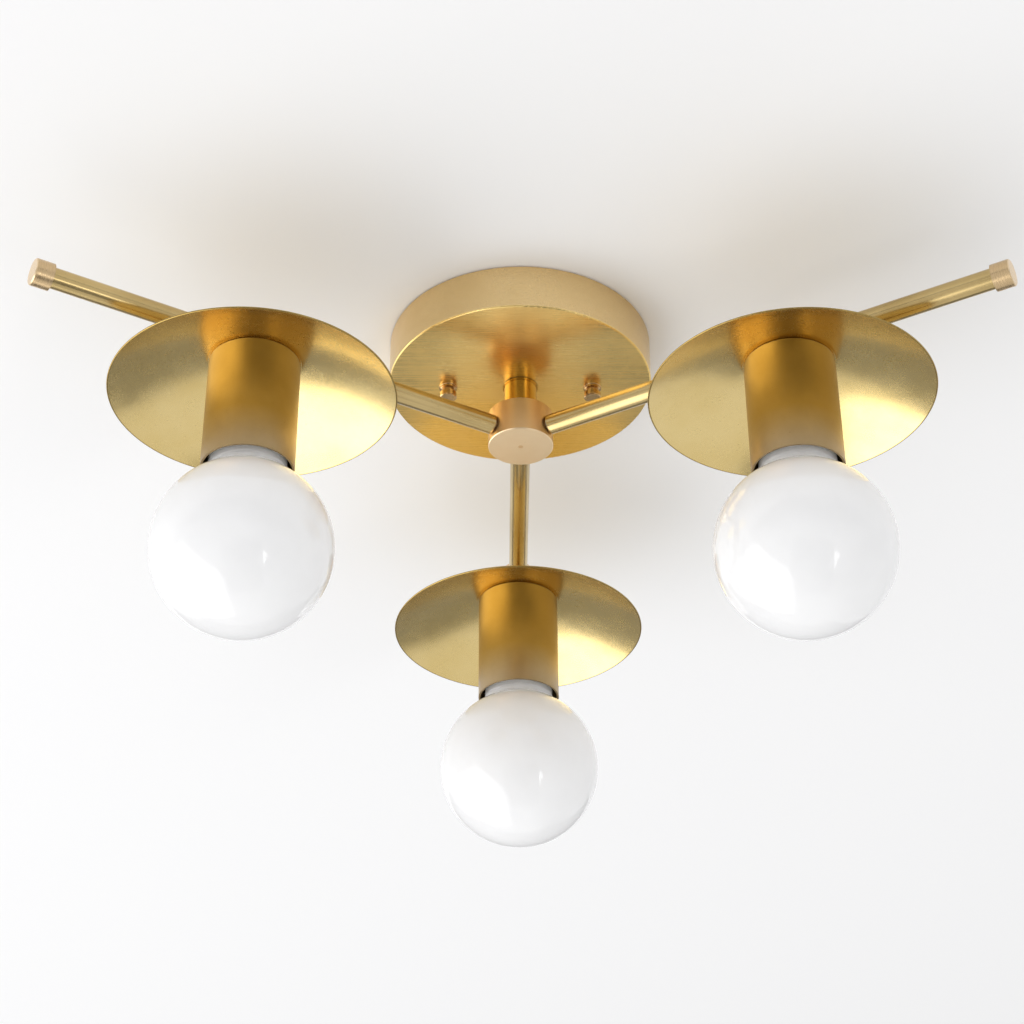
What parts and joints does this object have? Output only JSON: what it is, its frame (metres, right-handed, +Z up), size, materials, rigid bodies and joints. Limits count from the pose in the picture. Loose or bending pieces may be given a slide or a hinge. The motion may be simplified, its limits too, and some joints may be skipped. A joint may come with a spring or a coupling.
{
  "type": "globe chandelier",
  "caption": "Flush ceiling light: radiating brass arms carry dished discs and cups, each with an opal globe bulb that unscrews; a canopy and cap nuts hide the crossbar.",
  "frame": {"origin": "middle of the mounting crossbar's top face, on the ceiling plane and on the canopy's axis", "axes": "+Z up into the ceiling, +Y along one arm, +X through the right cap nut"},
  "size_m": [0.4306, 0.3793, 0.1988],
  "materials": {
    "canopy_brass": "satin brushed",
    "arm_brass": "drawn, semi-polished",
    "turned_brass": "lathe turned, semi-polished",
    "disc_brass": "satin spun",
    "cup_brass": "satin",
    "plated_steel": "zinc plated",
    "socket_phenolic": "moulded",
    "shell_metal": "stamped",
    "contact_brass": "stamped",
    "opal_glass": "glossy opal",
    "tip_glass": "glossy",
    "wire_insulation": "insulation",
    "connector_plastic": "moulded",
    "ground_green": "painted"
  },
  "bodies": {
    "fixture": {"arm_inner_far": "arm_brass", "arm_inner_left": "arm_brass", "arm_inner_right": "arm_brass", "arm_outer_far": "arm_brass", "arm_outer_left": "arm_brass", "arm_outer_right": "arm_brass", "canopy": "canopy_brass", "canopy_studs": "plated_steel", "centre_contacts": "contact_brass", "centre_nipple": "plated_steel", "crossbar": "plated_steel", "cup_far": "cup_brass", "cup_left": "cup_brass", "cup_right": "cup_brass", "disc_far": "disc_brass", "disc_left": "disc_brass", "disc_right": "disc_brass", "end_cap_far": "turned_brass", "end_cap_left": "turned_brass", "end_cap_right": "turned_brass", "ground_screw": "ground_green", "ground_wire": "ground_green", "head_nipples": "plated_steel", "head_nuts": "plated_steel", "hub": "turned_brass", "hub_nipples": "plated_steel", "lock_washer": "plated_steel", "screw_shell_far": "shell_metal", "screw_shell_left": "shell_metal", "screw_shell_right": "shell_metal", "socket_caps": "socket_phenolic", "socket_far": "socket_phenolic", "socket_left": "socket_phenolic", "socket_right": "socket_phenolic", "stem": "turned_brass", "stem_nut": "plated_steel", "stem_ring": "turned_brass", "stud_nuts": "plated_steel", "tee_far": "turned_brass", "tee_left": "turned_brass", "tee_right": "turned_brass", "terminal_screws": "contact_brass", "wire_connectors": "connector_plastic", "wires_far": "wire_insulation", "wires_left": "wire_insulation", "wires_right": "wire_insulation"},
    "bulb_far_contact": {"bulb_tip_far": "tip_glass"},
    "bulb_far": {"bulb_glass_far": "opal_glass", "bulb_base_far": "shell_metal"},
    "bulb_left_contact": {"bulb_tip_left": "tip_glass"},
    "bulb_left": {"bulb_glass_left": "opal_glass", "bulb_base_left": "shell_metal"},
    "bulb_right_contact": {"bulb_tip_right": "tip_glass"},
    "bulb_right": {"bulb_glass_right": "opal_glass", "bulb_base_right": "shell_metal"},
    "nut_washer_left_ring": {"nut_washer_left": "turned_brass"},
    "cap_nut_left": {"cap_nut_left": "turned_brass"},
    "nut_washer_right_ring": {"nut_washer_right": "turned_brass"},
    "cap_nut_right": {"cap_nut_right": "turned_brass"}
  },
  "joints": [
    {"name": "bulb_far_drop", "type": "slide", "parent": "fixture", "child": "bulb_far_contact", "axis": [0, 0, -1], "range_m": [0, 0.01451]},
    {"name": "bulb_far_turn", "type": "hinge", "parent": "bulb_far_contact", "child": "bulb_far", "pos_m": [0, 0.139, -0.12], "axis": [0, 0, -1], "range_deg": [0, 1440]},
    {"name": "bulb_left_drop", "type": "slide", "parent": "fixture", "child": "bulb_left_contact", "axis": [0, 0, -1], "range_m": [0, 0.01451]},
    {"name": "bulb_left_turn", "type": "hinge", "parent": "bulb_left_contact", "child": "bulb_left", "pos_m": [-0.12038, -0.0695, -0.12], "axis": [0, 0, -1], "range_deg": [0, 1440]},
    {"name": "bulb_right_drop", "type": "slide", "parent": "fixture", "child": "bulb_right_contact", "axis": [0, 0, -1], "range_m": [0, 0.01451]},
    {"name": "bulb_right_turn", "type": "hinge", "parent": "bulb_right_contact", "child": "bulb_right", "pos_m": [0.12038, -0.0695, -0.12], "axis": [0, 0, -1], "range_deg": [0, 1440]},
    {"name": "nut_left_drop", "type": "slide", "parent": "fixture", "child": "nut_washer_left_ring", "axis": [0, 0, -1], "range_m": [0, 0.00317]},
    {"name": "nut_left_turn", "type": "hinge", "parent": "nut_washer_left_ring", "child": "cap_nut_left", "pos_m": [-0.03492, 0, -0.026], "axis": [0, 0, -1], "range_deg": [0, 1440]},
    {"name": "nut_right_drop", "type": "slide", "parent": "fixture", "child": "nut_washer_right_ring", "axis": [0, 0, -1], "range_m": [0, 0.00317]},
    {"name": "nut_right_turn", "type": "hinge", "parent": "nut_washer_right_ring", "child": "cap_nut_right", "pos_m": [0.03492, 0, -0.026], "axis": [0, 0, -1], "range_deg": [0, 1440]}
  ],
  "couplings": [
    {"joint": "bulb_far_turn", "follows": "bulb_far_drop", "rad_per_m": 1731.5},
    {"joint": "bulb_left_turn", "follows": "bulb_left_drop", "rad_per_m": 1731.5},
    {"joint": "bulb_right_turn", "follows": "bulb_right_drop", "rad_per_m": 1731.5},
    {"joint": "nut_left_turn", "follows": "nut_left_drop", "rad_per_m": 7915.8},
    {"joint": "nut_right_turn", "follows": "nut_right_drop", "rad_per_m": 7915.8}
  ]
}
